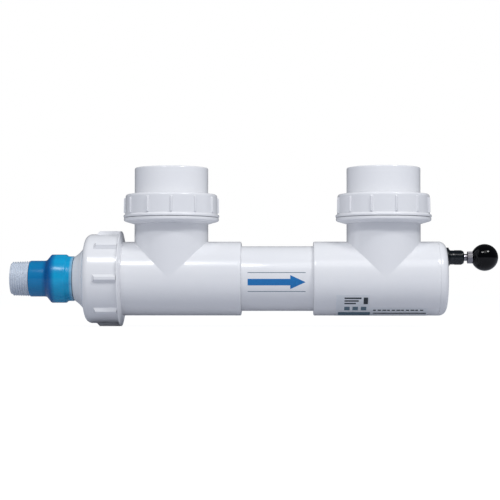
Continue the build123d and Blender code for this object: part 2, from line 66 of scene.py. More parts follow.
# Each soft box has its swing round the object in degrees, its width and height, and its power.
SOFT_BOXES = {
    "soft_box_left": (-20, 0.50, 0.20, 6.2),
    "soft_box_middle": (9, 0.52, 0.62, 2.0),
    "soft_box_right": (42, 0.40, 0.30, 7.6),
}
BOX_RISE = math.radians(47)
BOX_DISTANCE = 1.7
for name, (swing, width, height, power) in SOFT_BOXES.items():
    lamp = bpy.data.objects.new(name, bpy.data.lights.new(name, "AREA"))
    turn = math.radians(swing)
    level = math.cos(BOX_RISE)
    direction = Vector((math.sin(turn) * level, -math.cos(turn) * level, math.sin(BOX_RISE)))
    lamp.location = direction * BOX_DISTANCE
    lamp.rotation_euler = direction.to_track_quat("Z", "Y").to_euler()
    lamp.data.shape = "RECTANGLE"
    lamp.data.size = width
    lamp.data.size_y = height
    lamp.data.energy = power
    bpy.context.scene.collection.objects.link(lamp)


def linear(hex_colour):
    """Linear RGBA of an sRGB hex colour such as F2F3F5."""
    parts = [int(hex_colour[start:start + 2], 16) / 255 for start in (0, 2, 4)]
    return [part / 12.92 if part <= 0.04045 else ((part + 0.055) / 1.055) ** 2.4 for part in parts] + [1.0]


def feed(tree, node, feeds):
    """Give each input its value, or link it to the socket that feeds it."""
    for name, value in feeds.items():
        if isinstance(value, bpy.types.NodeSocket):
            tree.links.new(value, node.inputs[name])
        else:
            node.inputs[name].default_value = value


def add(tree, kind, feeds=None, **settings):
    """Add a node with its settings and what feeds its inputs."""
    made = tree.nodes.new(kind)
    for name, value in settings.items():
        setattr(made, name, value)
    feed(tree, made, feeds or {})
    return made


# The room is seen white, but throws back only a soft bluish light, and glossy skins mirror dark drapes,
# as round a darkened table.
WALL_LIGHT = 0.54
DRAPES_LIGHT = 0.08
world = bpy.data.worlds.new("studio_air")
world.use_nodes = True
bpy.context.scene.world = world
air = world.node_tree
air.nodes.clear()
seen = add(air, "ShaderNodeBackground", {"Color": linear("FFFFFF"), "Strength": 1.0})
cast = add(air, "ShaderNodeBackground", {"Color": linear("EAEFFA"), "Strength": WALL_LIGHT})
drapes = add(air, "ShaderNodeBackground", {"Color": linear("EAEFFA"), "Strength": DRAPES_LIGHT})
ray = add(air, "ShaderNodeLightPath")
thrown = add(air, "ShaderNodeMixShader",
             {0: ray.outputs["Is Glossy Ray"], 1: cast.outputs[0], 2: drapes.outputs[0]})
mixed = add(air, "ShaderNodeMixShader",
            {0: ray.outputs["Is Camera Ray"], 1: thrown.outputs[0], 2: seen.outputs[0]})
add(air, "ShaderNodeOutputWorld", {"Surface": mixed.outputs[0]})

# The floor is backlit paper: it reads almost white, with a faint contact shadow, and lifts little light.
PAPER_GLOW = 0.95
floor_paint = bpy.data.materials.new("floor_paper")
floor_paint.use_nodes = True
paper = floor_paint.node_tree
paper.nodes.clear()
ray = add(paper, "ShaderNodeLightPath")
glow = add(paper, "ShaderNodeEmission", {"Color": linear("FFFFFF"), "Strength": PAPER_GLOW})
pale = add(paper, "ShaderNodeBsdfDiffuse", {"Color": linear("5A5C5E")})
lit = add(paper, "ShaderNodeAddShader", {0: glow.outputs[0], 1: pale.outputs[0]})
dim = add(paper, "ShaderNodeBsdfDiffuse", {"Color": linear("BFC1C8")})
both = add(paper, "ShaderNodeMixShader",
           {0: ray.outputs["Is Camera Ray"], 1: dim.outputs[0], 2: lit.outputs[0]})
add(paper, "ShaderNodeOutputMaterial", {"Surface": both.outputs[0]})

FLOOR_SIZE = 30.0
FLOOR_GAP = 0.0004
ground = bmesh.new()
bmesh.ops.create_grid(ground, x_segments=1, y_segments=1, size=FLOOR_SIZE / 2)
bmesh.ops.translate(ground, verts=ground.verts, vec=(0, 0, cad_box[0][2] - FLOOR_GAP))
floor_mesh = bpy.data.meshes.new("floor")
ground.to_mesh(floor_mesh)
ground.free()
floor_mesh.materials.append(floor_paint)
floor = bpy.data.objects.new("floor", floor_mesh)
bpy.context.scene.collection.objects.link(floor)


# Tees. Injection-moulded rigid PVC pipe fittings, with a socket in each end of the run and a plain bored
# branch. The branch meets the run in a mitre with a small fillet. Both are cemented on the body pipe.
MM = 0.001
HUB_R = 34.4
SOCKET_R = 30.2
PIPE_BORE_R = 26.25
SOCKET_STOP = 27.5
PORT_X = 99.0
ARM = 65.5
LEFT_ARM_END = PORT_X + ARM
RIGHT_ARM_END = 149.0
CROTCH_FILLET = 1.0
ROUND_STEPS = 120

# How near counts as on a cut, as flat at a height, and as the same place.
CUT_SNAP = 0.0005 * MM
FLAT_SNAP = 0.01 * MM
WELD = 0.002 * MM


def start_finish(name):
    """New finish of this name, with its node tree, its shader and the piece's own coordinates."""
    finish = bpy.data.materials.new(name)
    finish.use_nodes = True
    tree = finish.node_tree
    return finish, tree, tree.nodes["Principled BSDF"], add(tree, "ShaderNodeTexCoord").outputs["Object"]


def scale_for(size):
    """Noise scale for a pattern whose patches are this many mm apart."""
    return 1 / (size * MM)


# White moulded PVC is a clean, slightly cool white with a satin skin. Up close the skin has the faint
# orange peel of the mould, about 0.9 mm across, and handling leaves broad dull patches.
moulded_pvc, tree, skin, place = start_finish("moulded_white_pvc")
patches = add(tree, "ShaderNodeTexNoise",
              {"Vector": place, "Scale": scale_for(35.7), "Detail": 4.0, "Roughness": 0.6})
tint = add(tree, "ShaderNodeMix",
           {"Factor": patches.outputs["Fac"], "A": linear("EDEEF1"), "B": linear("F4F4F5")},
           data_type="RGBA")
handling = add(tree, "ShaderNodeTexNoise",
               {"Vector": place, "Scale": scale_for(10.5), "Detail": 6.0, "Roughness": 0.65})
dulling = add(tree, "ShaderNodeMapRange",
              {"Value": handling.outputs["Fac"], "From Min": 0.35, "From Max": 0.7,
               "To Min": 0.18, "To Max": 0.22})
peel = add(tree, "ShaderNodeTexNoise",
           {"Vector": place, "Scale": scale_for(0.909), "Detail": 2.0, "Roughness": 0.5})
relief = add(tree, "ShaderNodeBump",
             {"Strength": 0.10, "Distance": 0.00006, "Height": peel.outputs["Fac"]})
feed(tree, skin, {
    "Base Color": tint.outputs["Result"],
    "Roughness": dulling.outputs["Result"],
    "Normal": relief.outputs["Normal"],
    "IOR": 1.53,
})


def spin_outline(outline, closed=True, steps=ROUND_STEPS):
    """Spin an outline about Z. Its points are (radius, height) or (radius, height, rounding), in mm."""
    bm = bmesh.new()
    verts = [bm.verts.new((point[0] * MM, 0, point[1] * MM)) for point in outline]
    pairs = list(zip(verts, verts[1:])) + ([(verts[-1], verts[0])] if closed else [])
    edges = [bm.edges.new(pair) for pair in pairs]
    bmesh.ops.spin(bm, geom=verts + edges, cent=(0, 0, 0), axis=(0, 0, 1), angle=math.tau, steps=steps,
                   use_merge=True)
    bmesh.ops.remove_doubles(bm, verts=bm.verts, dist=WELD / 2)
    for point in outline:
        if len(point) == 3:
            round_ring(bm, *point)
    return bm


def round_ring(bm, radius, height, rounding):
    """Round the circular edge that lies at this radius and height."""
    near = 2 * FLAT_SNAP

    def on_ring(v):
        return abs(v.co.xy.length - radius * MM) < near and abs(v.co.z - height * MM) < near

    bmesh.ops.bevel(bm, geom=[edge for edge in bm.edges if all(map(on_ring, edge.verts))], affect="EDGES",
                    offset=rounding * MM, segments=max(2, round(rounding * 1.6) + 1), profile=0.5,
                    material=-1, clamp_overlap=True)


def turn_about(bm, axis, angle):
    """Turn all of bm about the X, Y or Z line through the origin."""
    bmesh.ops.rotate(bm, verts=bm.verts, cent=(0, 0, 0), matrix=Matrix.Rotation(angle, 3, axis))


def shift(bm, x=0.0, z=0.0, verts=None):
    """Move all of bm, or only some verts, by so many mm."""
    bmesh.ops.translate(bm, verts=verts or bm.verts, vec=(x * MM, 0, z * MM))


def saw(bm, at, facing, **clear):
    """Cut all of bm by the plane through at, in mm, that faces this way. clear drops a side of it."""
    return bmesh.ops.bisect_plane(bm, geom=bm.verts[:] + bm.edges[:] + bm.faces[:], dist=CUT_SNAP,
                                  plane_co=[value * MM for value in at],
                                  plane_no=Vector(facing).normalized(), **clear)


def lay_along_run(bm, towards=1):
    """Turn a piece made about Z so that its height runs along the housing, to the right or the left."""
    turn_about(bm, "Y", towards * math.pi / 2)


def join(bm, other):
    """Add the other bmesh's geometry to bm."""
    carrier = bpy.data.meshes.new("carrier")
    other.to_mesh(carrier)
    other.free()
    bm.from_mesh(carrier)
    bpy.data.meshes.remove(carrier)


def finish_piece(bm, name, material, body, slot, *nodes, sharp=38):
    """Turn a bmesh into a smooth-shaded piece that rides on body and stands for the nodes."""
    bmesh.ops.remove_doubles(bm, verts=bm.verts, dist=WELD / 2)
    bmesh.ops.recalc_face_normals(bm, faces=bm.faces)
    mesh = bpy.data.meshes.new(name)
    bm.to_mesh(mesh)
    bm.free()
    mesh.shade_smooth()
    mesh.set_sharp_from_angle(angle=math.radians(sharp))
    mesh.materials.append(material)
    piece = bpy.data.objects.new(name, mesh)
    bpy.context.scene.collection.objects.link(piece)
    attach(piece, body)
    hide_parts(*nodes)
    return piece


# Rings this far apart keep the skin's shading even where the limbs are cut. The branch's bore widens up
# to RELIEF_TOP, where the run's sockets cut into it.
RING_SPACING = 3
RELIEF_TOP = SOCKET_R + 0.3
CROTCH_ANGLE = math.radians(14)


def tee_limb(length, rim=1.0, mouth=SOCKET_R):
    """One limb of a tee, from the centre up Z, open where it meets the others."""
    outline = [(HUB_R, height) for height in range(0, math.ceil(HUB_R) + RING_SPACING + 1, RING_SPACING)]
    outline += [(HUB_R, length - RING_SPACING), (HUB_R, length, rim), (mouth, length, 0.6)]
    if mouth < SOCKET_R:
        outline += [(mouth, RELIEF_TOP), (SOCKET_R, RELIEF_TOP)]
    outline += [(SOCKET_R, SOCKET_STOP), (PIPE_BORE_R, SOCKET_STOP), (PIPE_BORE_R, 0)]
    return spin_outline(outline, closed=False)


def mitre(bm, sides, keep_above):
    """Cut a limb along the 45 degree planes on the given sides, +1 right and -1 left."""
    for side in sides:
        saw(bm, (0, 0, 0), (-side, 0, 1), clear_inner=keep_above, clear_outer=not keep_above)


def build_tee(left, right):
    """Tee with its centre at the origin, arms of these lengths, and a plain bored branch."""
    bm = tee_limb(ARM, mouth=PIPE_BORE_R)
    mitre(bm, (1, -1), True)
    for towards, length, rim in ((-1, left, 1.0), (1, right, 1.0 if right == ARM else 0.25)):
        limb = tee_limb(length, rim)
        lay_along_run(limb, towards)
        mitre(limb, (towards,), False)
        join(bm, limb)
    bmesh.ops.remove_doubles(bm, verts=bm.verts, dist=1.5 * WELD)
    bmesh.ops.recalc_face_normals(bm, faces=bm.faces)

    def in_crotch(edge):
        return (len(edge.link_faces) == 2 and edge.calc_face_angle() > CROTCH_ANGLE
                and all(abs(abs(v.co.x) - v.co.z) < FLAT_SNAP and v.co.yz.length > (HUB_R - 0.1) * MM
                        for v in edge.verts))

    bmesh.ops.bevel(bm, geom=[edge for edge in bm.edges if in_crotch(edge)], offset=CROTCH_FILLET * MM,
                    segments=4, profile=0.5, affect="EDGES", material=-1, clamp_overlap=True)
    return bm


for side, node, right_arm in ((-1, "inlet_tee", ARM), (1, "outlet_tee", RIGHT_ARM_END - PORT_X)):
    bm = build_tee(ARM, right_arm)
    shift(bm, x=side * PORT_X)
    finish_piece(bm, node + "_moulding", moulded_pvc, "housing", "white_pvc", node)


# Body pipe. A sawn length of extruded 2 inch PVC pipe, cemented into both tees, so that only its middle
# shows. Extrusion leaves faint straight lines along it.
PIPE_R = 30.15
SEAT_GAP = 0.5

# Extruded PVC is glossier than the mouldings, with die lines along X every half millimetre or so.
extruded_pvc = moulded_pvc.copy()
extruded_pvc.name = "extruded_white_pvc"
tree = extruded_pvc.node_tree
place = next(n for n in tree.nodes if n.type == "TEX_COORD").outputs["Object"]
along = add(tree, "ShaderNodeMapping", {"Vector": place, "Scale": (0.02, 1.0, 1.0)})
die_lines = add(tree, "ShaderNodeTexNoise",
                {"Vector": along.outputs[0], "Scale": scale_for(0.556), "Detail": 3.0})
lines = add(tree, "ShaderNodeBump",
            {"Strength": 0.14, "Distance": 0.00006, "Height": die_lines.outputs["Fac"]})
tree.links.new(lines.outputs["Normal"], tree.nodes["Principled BSDF"].inputs["Normal"])

half = PORT_X - SOCKET_STOP - SEAT_GAP
bm = spin_outline([(PIPE_BORE_R, -half, 0.5), (PIPE_R, -half, 0.8),
                   (PIPE_R, half, 0.8), (PIPE_BORE_R, half, 0.5)])
lay_along_run(bm)
finish_piece(bm, "body_pipe_extrusion", extruded_pvc, "housing", "white_pvc", "body_pipe")


# End cap. A moulded PVC spigot cap with a full round edge, cemented into the right tee and drilled high
# for the wiper gland.
CAP_FACE_X = 156.7
CAP_WALL = 7.5
CAP_EDGE_R = 7.0
CAP_FLAT_R = 26.5
CAP_FLOOR_R = 25.1
DRILLED_R = 5.05
ROD_Z = 19.6


def new_verts(made):
    """The verts among what an extrusion made."""
    return [item for item in made["geom"] if isinstance(item, bmesh.types.BMVert)]


def close_flat(bm, *heights):
    """Fill what is open between the rims that lie flat at these heights."""
    for height in heights:
        rims = [edge for edge in bm.edges if edge.is_boundary
                and all(abs(v.co.z - height * MM) < FLAT_SNAP for v in edge.verts)]
        bmesh.ops.triangle_fill(bm, use_beauty=True, use_dissolve=False, edges=rims, normal=(0, 0, 1))


cap_inside = CAP_FACE_X - CAP_WALL
spigot_end = PORT_X + SOCKET_STOP + SEAT_GAP
outline = [
    (CAP_FLOOR_R, cap_inside),
    (PIPE_BORE_R, cap_inside, 1.0),
    (PIPE_BORE_R, spigot_end, 0.5),
    (PIPE_R, spigot_end, 0.8),
    (PIPE_R, RIGHT_ARM_END),
    (HUB_R, RIGHT_ARM_END, 0.25),
    (HUB_R, CAP_FACE_X, CAP_EDGE_R),
    (CAP_FLAT_R, CAP_FACE_X),
]
bm = spin_outline(outline, closed=False)
hole = bmesh.ops.create_circle(bm, segments=ROUND_STEPS, radius=DRILLED_R * MM,
                               matrix=Matrix.Translation((-ROD_Z * MM, 0, cap_inside * MM)))
hole_rim = list({edge for v in hole["verts"] for edge in v.link_edges})
shift(bm, z=CAP_WALL, verts=new_verts(bmesh.ops.extrude_edge_only(bm, edges=hole_rim)))
close_flat(bm, cap_inside, CAP_FACE_X)
lay_along_run(bm)
finish_piece(bm, "end_cap_moulding", moulded_pvc, "housing", "white_pvc", "end_cap")


# Port collars. Threaded PVC rings cemented round the branches: a coned flange, a coarse thread for the
# nut, and a groove in the top face for the seal.
COLLAR_TOP_Z = 66.0
COLLAR_FLANGE_R = 44.3
COLLAR_RIM_Z = 56.6
PORT_THREAD_R = 40.2
COLLAR_FOOT_Z = 51.0
COLLAR_CONE_Z = 53.3
COLLAR_EDGE_Z = 54.1
UNION_PITCH = 4.0
PORT_THREAD_DEPTH = 0.7
PORT_ROOT_R = PORT_THREAD_R - PORT_THREAD_DEPTH
GLUED_R = HUB_R + 0.05
GROOVE_INNER_R = GLUED_R + 1.0
GROOVE_DEPTH = 2.6
GROOVE_OUTER_R = 39.2


def add_thread(bm, root, crest, low, high, pitch, taper=0.0, steps=72):
    """Wind a right-hand thread up Z, trim it flat, and close it onto the open rings at low and high."""
    section = [(root, 0.0), (root, 0.2), (crest, 0.42), (crest, 0.58), (root, 0.8), (root, 1.0)]
    lead_in = 1.3
    turns = math.ceil((high - low) / pitch) + 2
    band = bmesh.new()
    verts = [band.verts.new((radius * MM, 0, (low + (share - lead_in) * pitch) * MM))
             for radius, share in section]
    edges = [band.edges.new(pair) for pair in zip(verts, verts[1:])]
    bmesh.ops.spin(band, geom=verts + edges, cent=(0, 0, 0), axis=(0, 0, 1), angle=math.tau * turns,
                   steps=steps * turns, dvec=(0, 0, pitch / steps * MM), use_merge=False)
    bmesh.ops.remove_doubles(band, verts=band.verts, dist=WELD)
    for v in band.verts:
        v.co.xy *= 1 - taper * (v.co.z / MM - low) / crest
    saw(band, (0, 0, low), (0, 0, 1), clear_inner=True)
    saw(band, (0, 0, high), (0, 0, 1), clear_outer=True)
    join(bm, band)
    bmesh.ops.remove_doubles(bm, verts=bm.verts, dist=WELD)
    close_flat(bm, low, high)


for side, node in ((-1, "inlet_collar"), (1, "outlet_collar")):
    outline = [
        (PORT_ROOT_R - 0.15, COLLAR_TOP_Z),
        (GROOVE_OUTER_R, COLLAR_TOP_Z),
        (GROOVE_OUTER_R, COLLAR_TOP_Z - GROOVE_DEPTH),
        (GROOVE_INNER_R, COLLAR_TOP_Z - GROOVE_DEPTH),
        (GROOVE_INNER_R, COLLAR_TOP_Z),
        (GLUED_R, COLLAR_TOP_Z),
        (GLUED_R, COLLAR_FOOT_Z),
        (GLUED_R + 1.0, COLLAR_FOOT_Z, 0.3),
        (COLLAR_FLANGE_R - 0.8, COLLAR_CONE_Z, 0.6),
        (COLLAR_FLANGE_R, COLLAR_EDGE_Z, 0.3),
        (COLLAR_FLANGE_R, COLLAR_RIM_Z, 0.4),
        (PORT_ROOT_R - 0.3, COLLAR_RIM_Z),
    ]
    bm = spin_outline(outline, closed=False)
    add_thread(bm, PORT_ROOT_R, PORT_THREAD_R, COLLAR_RIM_Z, COLLAR_TOP_Z, UNION_PITCH)
    shift(bm, x=side * PORT_X)
    finish_piece(bm, node + "_threaded", moulded_pvc, "housing", "white_pvc", node)


# Port nuts. Moulded PVC union nuts with a lipped foot, a rounded shoulder and twelve upright grip ribs.
# Each screws on its collar and holds the end connector's flange down on the seal.
PORT_NUT_FOOT_Z = 57.0
PORT_NUT_LIP = 2.0
PORT_RIB_FOOT_Z = 60.7
PORT_RIB_HEAD_Z = 75.4
PORT_NUT_SHOULDER_Z = 75.8
PORT_NUT_TOP_Z = 78.5
PORT_NUT_RIM_R = 44.7
PORT_NUT_PANEL_R = 43.1
PORT_NUT_ROUND = 2.2
PORT_NUT_RIBS = 12
PORT_RIB_SHARE = 0.1
PORT_RIB_FLANK = 0.55
PORT_RIB_PROUD = 1.5
PORT_RIB_SLOPE = 0.2
CONNECTOR_R = 34.3
THREAD_GAP = 0.4


def raise_ribs(bm, count, share, inset, proud, foot, head, end_slope=0.0):
    """Push ribs out of the outer wall between two heights, each as wide as this share of its pitch."""
    pitch = math.tau / count

    def on_rib(face):
        centre = face.calc_center_median()
        turn = (math.atan2(centre.y, centre.x) / pitch) % 1.0
        outside = face.normal.xy.dot(centre.xy) > 0.5 * centre.xy.length
        upright = foot * MM < centre.z < head * MM
        return outside and upright and min(turn, 1.0 - turn) < share / 2

    ribs = [face for face in bm.faces if on_rib(face)]
    bmesh.ops.inset_region(bm, faces=ribs, thickness=inset * MM, depth=proud * MM, use_boundary=True,
                           use_even_offset=True)
    for v in {v for face in ribs for v in face.verts}:
        v.co.z += end_slope * MM * (1 if v.co.z < (foot + head) / 2 * MM else -1)


MOULD_EDGE = 0.22


def soften_edges(piece):
    """Round the edges a mould leaves on ribs, with a small bevel."""
    rounding = piece.modifiers.new("moulded_edges", "BEVEL")
    rounding.width = MOULD_EDGE * MM
    rounding.segments = 2
    rounding.limit_method = "ANGLE"
    rounding.angle_limit = math.radians(28)


def build_ribbed_nut(outline, steps, *ribs):
    """Nut spun from a closed outline, its wall facets turned to straddle the ribs' lines."""
    bm = spin_outline(outline, steps=steps)
    bmesh.ops.recalc_face_normals(bm, faces=bm.faces)
    turn_about(bm, "Z", math.pi / steps)
    bm.normal_update()
    raise_ribs(bm, *ribs)
    return bm


# The nuts are tightened to different stops: first_rib is where a rib stands, in degrees from the front.
for side, flow, first_rib in ((-1, "inlet", 4), (1, "outlet", 12)):
    mouth_r = CONNECTOR_R + 0.7
    bore_r = PORT_THREAD_R + THREAD_GAP
    outline = [
        (bore_r, PORT_NUT_FOOT_Z, 0.4),
        (PORT_NUT_RIM_R, PORT_NUT_FOOT_Z, 0.5),
        (PORT_NUT_RIM_R, PORT_NUT_FOOT_Z + PORT_NUT_LIP, 0.5),
        (PORT_NUT_PANEL_R, PORT_NUT_FOOT_Z + PORT_NUT_LIP + 1.0, 0.3),
        (PORT_NUT_PANEL_R - 0.03, PORT_RIB_FOOT_Z),
        (PORT_NUT_PANEL_R - 0.3, PORT_RIB_HEAD_Z),
        (PORT_NUT_PANEL_R - 0.4, PORT_NUT_TOP_Z, PORT_NUT_ROUND),
        (mouth_r, PORT_NUT_TOP_Z, 0.5),
        (mouth_r, PORT_NUT_SHOULDER_Z),
        (bore_r, PORT_NUT_SHOULDER_Z),
    ]
    bm = build_ribbed_nut(outline, ROUND_STEPS, PORT_NUT_RIBS, PORT_RIB_SHARE, PORT_RIB_FLANK,
                          PORT_RIB_PROUD, PORT_RIB_FOOT_Z, PORT_RIB_HEAD_Z, PORT_RIB_SLOPE)
    turn_about(bm, "Z", math.radians(first_rib - 90))
    shift(bm, x=side * PORT_X)
    node = flow + "_nut"
    soften_edges(finish_piece(bm, node + "_ribbed", moulded_pvc, flow + "_ring", "white_pvc", node))


# End connectors. The loose halves of the port unions: a flat flange held down by the nut, and a plain
# socket that the pond's pipe is cemented into.
CONNECTOR_TOP_Z = 103.3
CONNECTOR_STOP_Z = 68.3
CONNECTOR_FLANGE_R = 38.0
FLANGE_PLAY = 0.2
for side, flow in ((-1, "inlet"), (1, "outlet")):
    outline = [
        (PIPE_BORE_R, COLLAR_TOP_Z + FLANGE_PLAY, 0.4),
        (CONNECTOR_FLANGE_R, COLLAR_TOP_Z + FLANGE_PLAY, 0.4),
        (CONNECTOR_FLANGE_R, PORT_NUT_SHOULDER_Z - FLANGE_PLAY, 0.5),
        (CONNECTOR_R, PORT_NUT_SHOULDER_Z - FLANGE_PLAY, 0.5),
        (CONNECTOR_R, CONNECTOR_TOP_Z, 1.2),
        (SOCKET_R, CONNECTOR_TOP_Z, 0.8),
        (SOCKET_R, CONNECTOR_STOP_Z),
        (PIPE_BORE_R, CONNECTOR_STOP_Z),
    ]
    bm = spin_outline(outline)
    shift(bm, x=side * PORT_X)
    node = flow + "_end_connector"
    finish_piece(bm, node + "_moulding", moulded_pvc, flow + "_connector", "white_pvc", node)


# Housing collar. The threaded half of the big union, moulded in PVC with a coned flange, and cemented
# round the left arm. Its heights run from the middle of the housing to the left.
UNION_FLANGE_R = 44.4
UNION_THREAD_R = 38.0
THREAD_DEPTH = 1.1
UNION_ROOT_R = UNION_THREAD_R - THREAD_DEPTH
UNION_CONE_X = 143.3
UNION_EDGE_X = 145.4
UNION_RIM_X = 146.3
outline = [
    (UNION_ROOT_R - 0.3, UNION_RIM_X),
    (UNION_FLANGE_R, UNION_RIM_X, 0.3),
    (UNION_FLANGE_R, UNION_EDGE_X, 0.4),
    (GLUED_R + 0.6, UNION_CONE_X, 0.3),
    (GLUED_R, UNION_CONE_X),
    (GLUED_R, LEFT_ARM_END, 0.3),
    (UNION_ROOT_R - 0.3, LEFT_ARM_END),
]
bm = spin_outline(outline, closed=False)
add_thread(bm, UNION_ROOT_R, UNION_THREAD_R, UNION_RIM_X, LEFT_ARM_END, UNION_PITCH)
lay_along_run(bm, -1)
finish_piece(bm, "housing_collar_threaded", moulded_pvc, "housing", "white_pvc", "housing_collar")


# Housing nut. A large moulded PVC union nut with a rounded shoulder and eight wedge ribs to grip. It
# holds the head down on the housing.
UNION_NUT_R = 41.5
UNION_NUT_MOUTH_R = 29.2
UNION_NUT_FOOT_X = 146.6
UNION_NUT_WALL_X = 168.4
UNION_NUT_SEAT_X = 172.8
UNION_NUT_SHOULDER_X = 177.4
UNION_NUT_END_X = 180.3
UNION_NUT_ROUND = 4.8
UNION_NUT_RIBS = 8
UNION_RIB_SHARE = 0.21
UNION_RIB_FLANK = 2.6
UNION_RIB_PROUD = 2.85
NUT_STEPS = 112
outline = [
    (UNION_THREAD_R + THREAD_GAP, UNION_NUT_FOOT_X, 0.4),
    (UNION_NUT_R, UNION_NUT_FOOT_X),
    (UNION_NUT_R, UNION_NUT_WALL_X),
    (UNION_NUT_R, UNION_NUT_SHOULDER_X, UNION_NUT_ROUND),
    (UNION_NUT_MOUTH_R, UNION_NUT_END_X, 0.6),
    (UNION_NUT_MOUTH_R, UNION_NUT_SEAT_X),
    (UNION_THREAD_R + THREAD_GAP, UNION_NUT_SEAT_X),
]
bm = build_ribbed_nut(outline, NUT_STEPS, UNION_NUT_RIBS, UNION_RIB_SHARE, UNION_RIB_FLANK,
                      UNION_RIB_PROUD, UNION_NUT_FOOT_X, UNION_NUT_WALL_X)

# The ribs end square at the nut's foot, and run out in a slope only at its shoulder.
for v in bm.verts:
    if v.co.xy.length > (UNION_NUT_R + 1.5) * MM and v.co.z < (UNION_NUT_FOOT_X + 4.4) * MM:
        v.co.z = (UNION_NUT_FOOT_X + 0.2) * MM
lay_along_run(bm, -1)
finish_piece(bm, "housing_nut_ribbed", moulded_pvc, "head_ring", "white_pvc", "housing_nut")


# Head. A moulded PVC plug with a pilot ring, a sealing flange, a cone and a threaded neck, where the
# quartz sleeve comes through.
NECK_PITCH = 2.5
NECK_R = 18.6
NECK_THREAD_DEPTH = 0.9
NECK_X = 189.5
NECK_END_X = 203.0
NECK_RIM_R = 17.4
SEAL_BORE_R = 15.5
SEAL_FLOOR_X = 197.8
SLEEVE_BORE_R = 11.9
PILOT_R = 29.6
PILOT_END_X = 150.5
HEAD_SEAT_X = 164.7
HEAD_GROOVE_INNER_R = 31.2
HEAD_GROOVE_OUTER_R = 34.6
HEAD_GROOVE_X = 167.3
HEAD_FLANGE_R = 37.6
HEAD_FLANGE_X = 172.6
HEAD_HUB_R = 28.6
HEAD_HUB_X = 180.6
CONE_R = 24.2
CONE_X = 184.2
CONE_TIP_R = 20.3
outline = [
    (NECK_RIM_R, NECK_END_X),
    (SEAL_BORE_R, NECK_END_X),
    (SEAL_BORE_R, SEAL_FLOOR_X),
    (SLEEVE_BORE_R, SEAL_FLOOR_X),
    (SLEEVE_BORE_R, HEAD_SEAT_X),
    (PIPE_BORE_R, HEAD_SEAT_X),
    (PIPE_BORE_R, PILOT_END_X, 0.5),
    (PILOT_R, PILOT_END_X, 0.6),
    (PILOT_R, HEAD_SEAT_X),
    (HEAD_GROOVE_INNER_R, HEAD_SEAT_X),
    (HEAD_GROOVE_INNER_R, HEAD_GROOVE_X),
    (HEAD_GROOVE_OUTER_R, HEAD_GROOVE_X),
    (HEAD_GROOVE_OUTER_R, HEAD_SEAT_X),
    (HEAD_FLANGE_R, HEAD_SEAT_X, 0.4),
    (HEAD_FLANGE_R, HEAD_FLANGE_X, 0.6),
    (HEAD_HUB_R, HEAD_FLANGE_X, 1.0),
    (HEAD_HUB_R, HEAD_HUB_X, 0.8),
    (CONE_R, CONE_X, 3.0),
    (CONE_TIP_R, NECK_X, 0.4),
    (NECK_RIM_R, NECK_X),
]
bm = spin_outline(outline, closed=False)
add_thread(bm, NECK_R - NECK_THREAD_DEPTH, NECK_R, NECK_X, NECK_END_X, NECK_PITCH)
lay_along_run(bm, -1)
finish_piece(bm, "housing_head_moulding", moulded_pvc, "head", "white_pvc", "housing_head")


# Lamp cap. A union cap moulded in clear blue acrylic. Its coarse inner thread screws on the head's neck,
# and the white neck lies inside it. The light that comes through the cap is painted into its colour along
# it: darker across the flare, bright cyan over the barrel in front of the white neck, and pale at the
# mouth.
CAP_R = 22.6
CAP_SKIRT_R = 20.9
CAP_TAIL_R = 16.8
CAP_HOLE_R = 12.9
CAP_CHAMBER_R = 15.0
CAP_MOUTH = 189.9
CAP_SKIRT_X = 195.2
CAP_FLARE_X = 197.0
CAP_SHOULDER_X = 210.8
CAP_TAIL_X = 215.5
CAP_END = 231.2
CAP_FLOOR_X = 214.5
CAP_THREAD_X = 190.4
CAP_THREAD_END_X = 205.5
CAP_THREAD_DEPTH = 0.7
CAP_BORE_R = NECK_R + THREAD_GAP
CAP_ROOT_R = CAP_BORE_R + CAP_THREAD_DEPTH

# Tinted clear acrylic has a clean gloss, and lets only a little light through here, so most of what would
# show through it is painted light. Moulding leaves soft streaks of denser colour along it, and the skin
# has fine wiping marks.
blue_acrylic, tree, skin, place = start_finish("tinted_blue_acrylic")
# Painted light: this ramp along the cap darkens the flare and brightens the barrel and the mouth. It stands
# in for the light that comes through from the white neck behind, and is not a colour the acrylic has.
along_cap = add(tree, "ShaderNodeSeparateXYZ", {"Vector": place})
depth = add(tree, "ShaderNodeMapRange",
            {"Value": along_cap.outputs["X"], "From Min": -CAP_END * MM, "From Max": -CAP_MOUTH * MM})
painted_through_light = add(tree, "ShaderNodeValToRGB", {"Fac": depth.outputs["Result"]})
painted_through_light.color_ramp.elements[0].color = linear("008CC6")
painted_through_light.color_ramp.elements[1].color = linear("A8D6EE")
PAINTED_THROUGH_LIGHT_STEPS = {0.30: "008AC4", 0.40: "00589C", 0.52: "0068AE", 0.62: "06B2E6", 0.93: "06B2E6",
                 0.96: "7CC4E8"}
for share, colour in PAINTED_THROUGH_LIGHT_STEPS.items():
    painted_through_light.color_ramp.elements.new(share).color = linear(colour)
streaked = add(tree, "ShaderNodeMapping", {"Vector": place, "Scale": (0.35, 1.0, 1.0)})
streaks = add(tree, "ShaderNodeTexNoise",
              {"Vector": streaked.outputs[0], "Scale": scale_for(6.67), "Detail": 3.0})
thicker = add(tree, "ShaderNodeMapRange",
              {"Value": streaks.outputs["Fac"], "From Min": 0.3, "From Max": 0.7,
               "To Min": 0.0, "To Max": 0.3})
tint = add(tree, "ShaderNodeMix",
           {"Factor": thicker.outputs["Result"], "A": painted_through_light.outputs["Color"], "B": linear("006CB4")},
           data_type="RGBA")
marks = add(tree, "ShaderNodeTexNoise", {"Vector": place, "Scale": scale_for(2.38), "Detail": 5.0})
dulling = add(tree, "ShaderNodeMapRange",
              {"Value": marks.outputs["Fac"], "From Min": 0.35, "From Max": 0.7,
               "To Min": 0.2, "To Max": 0.27})
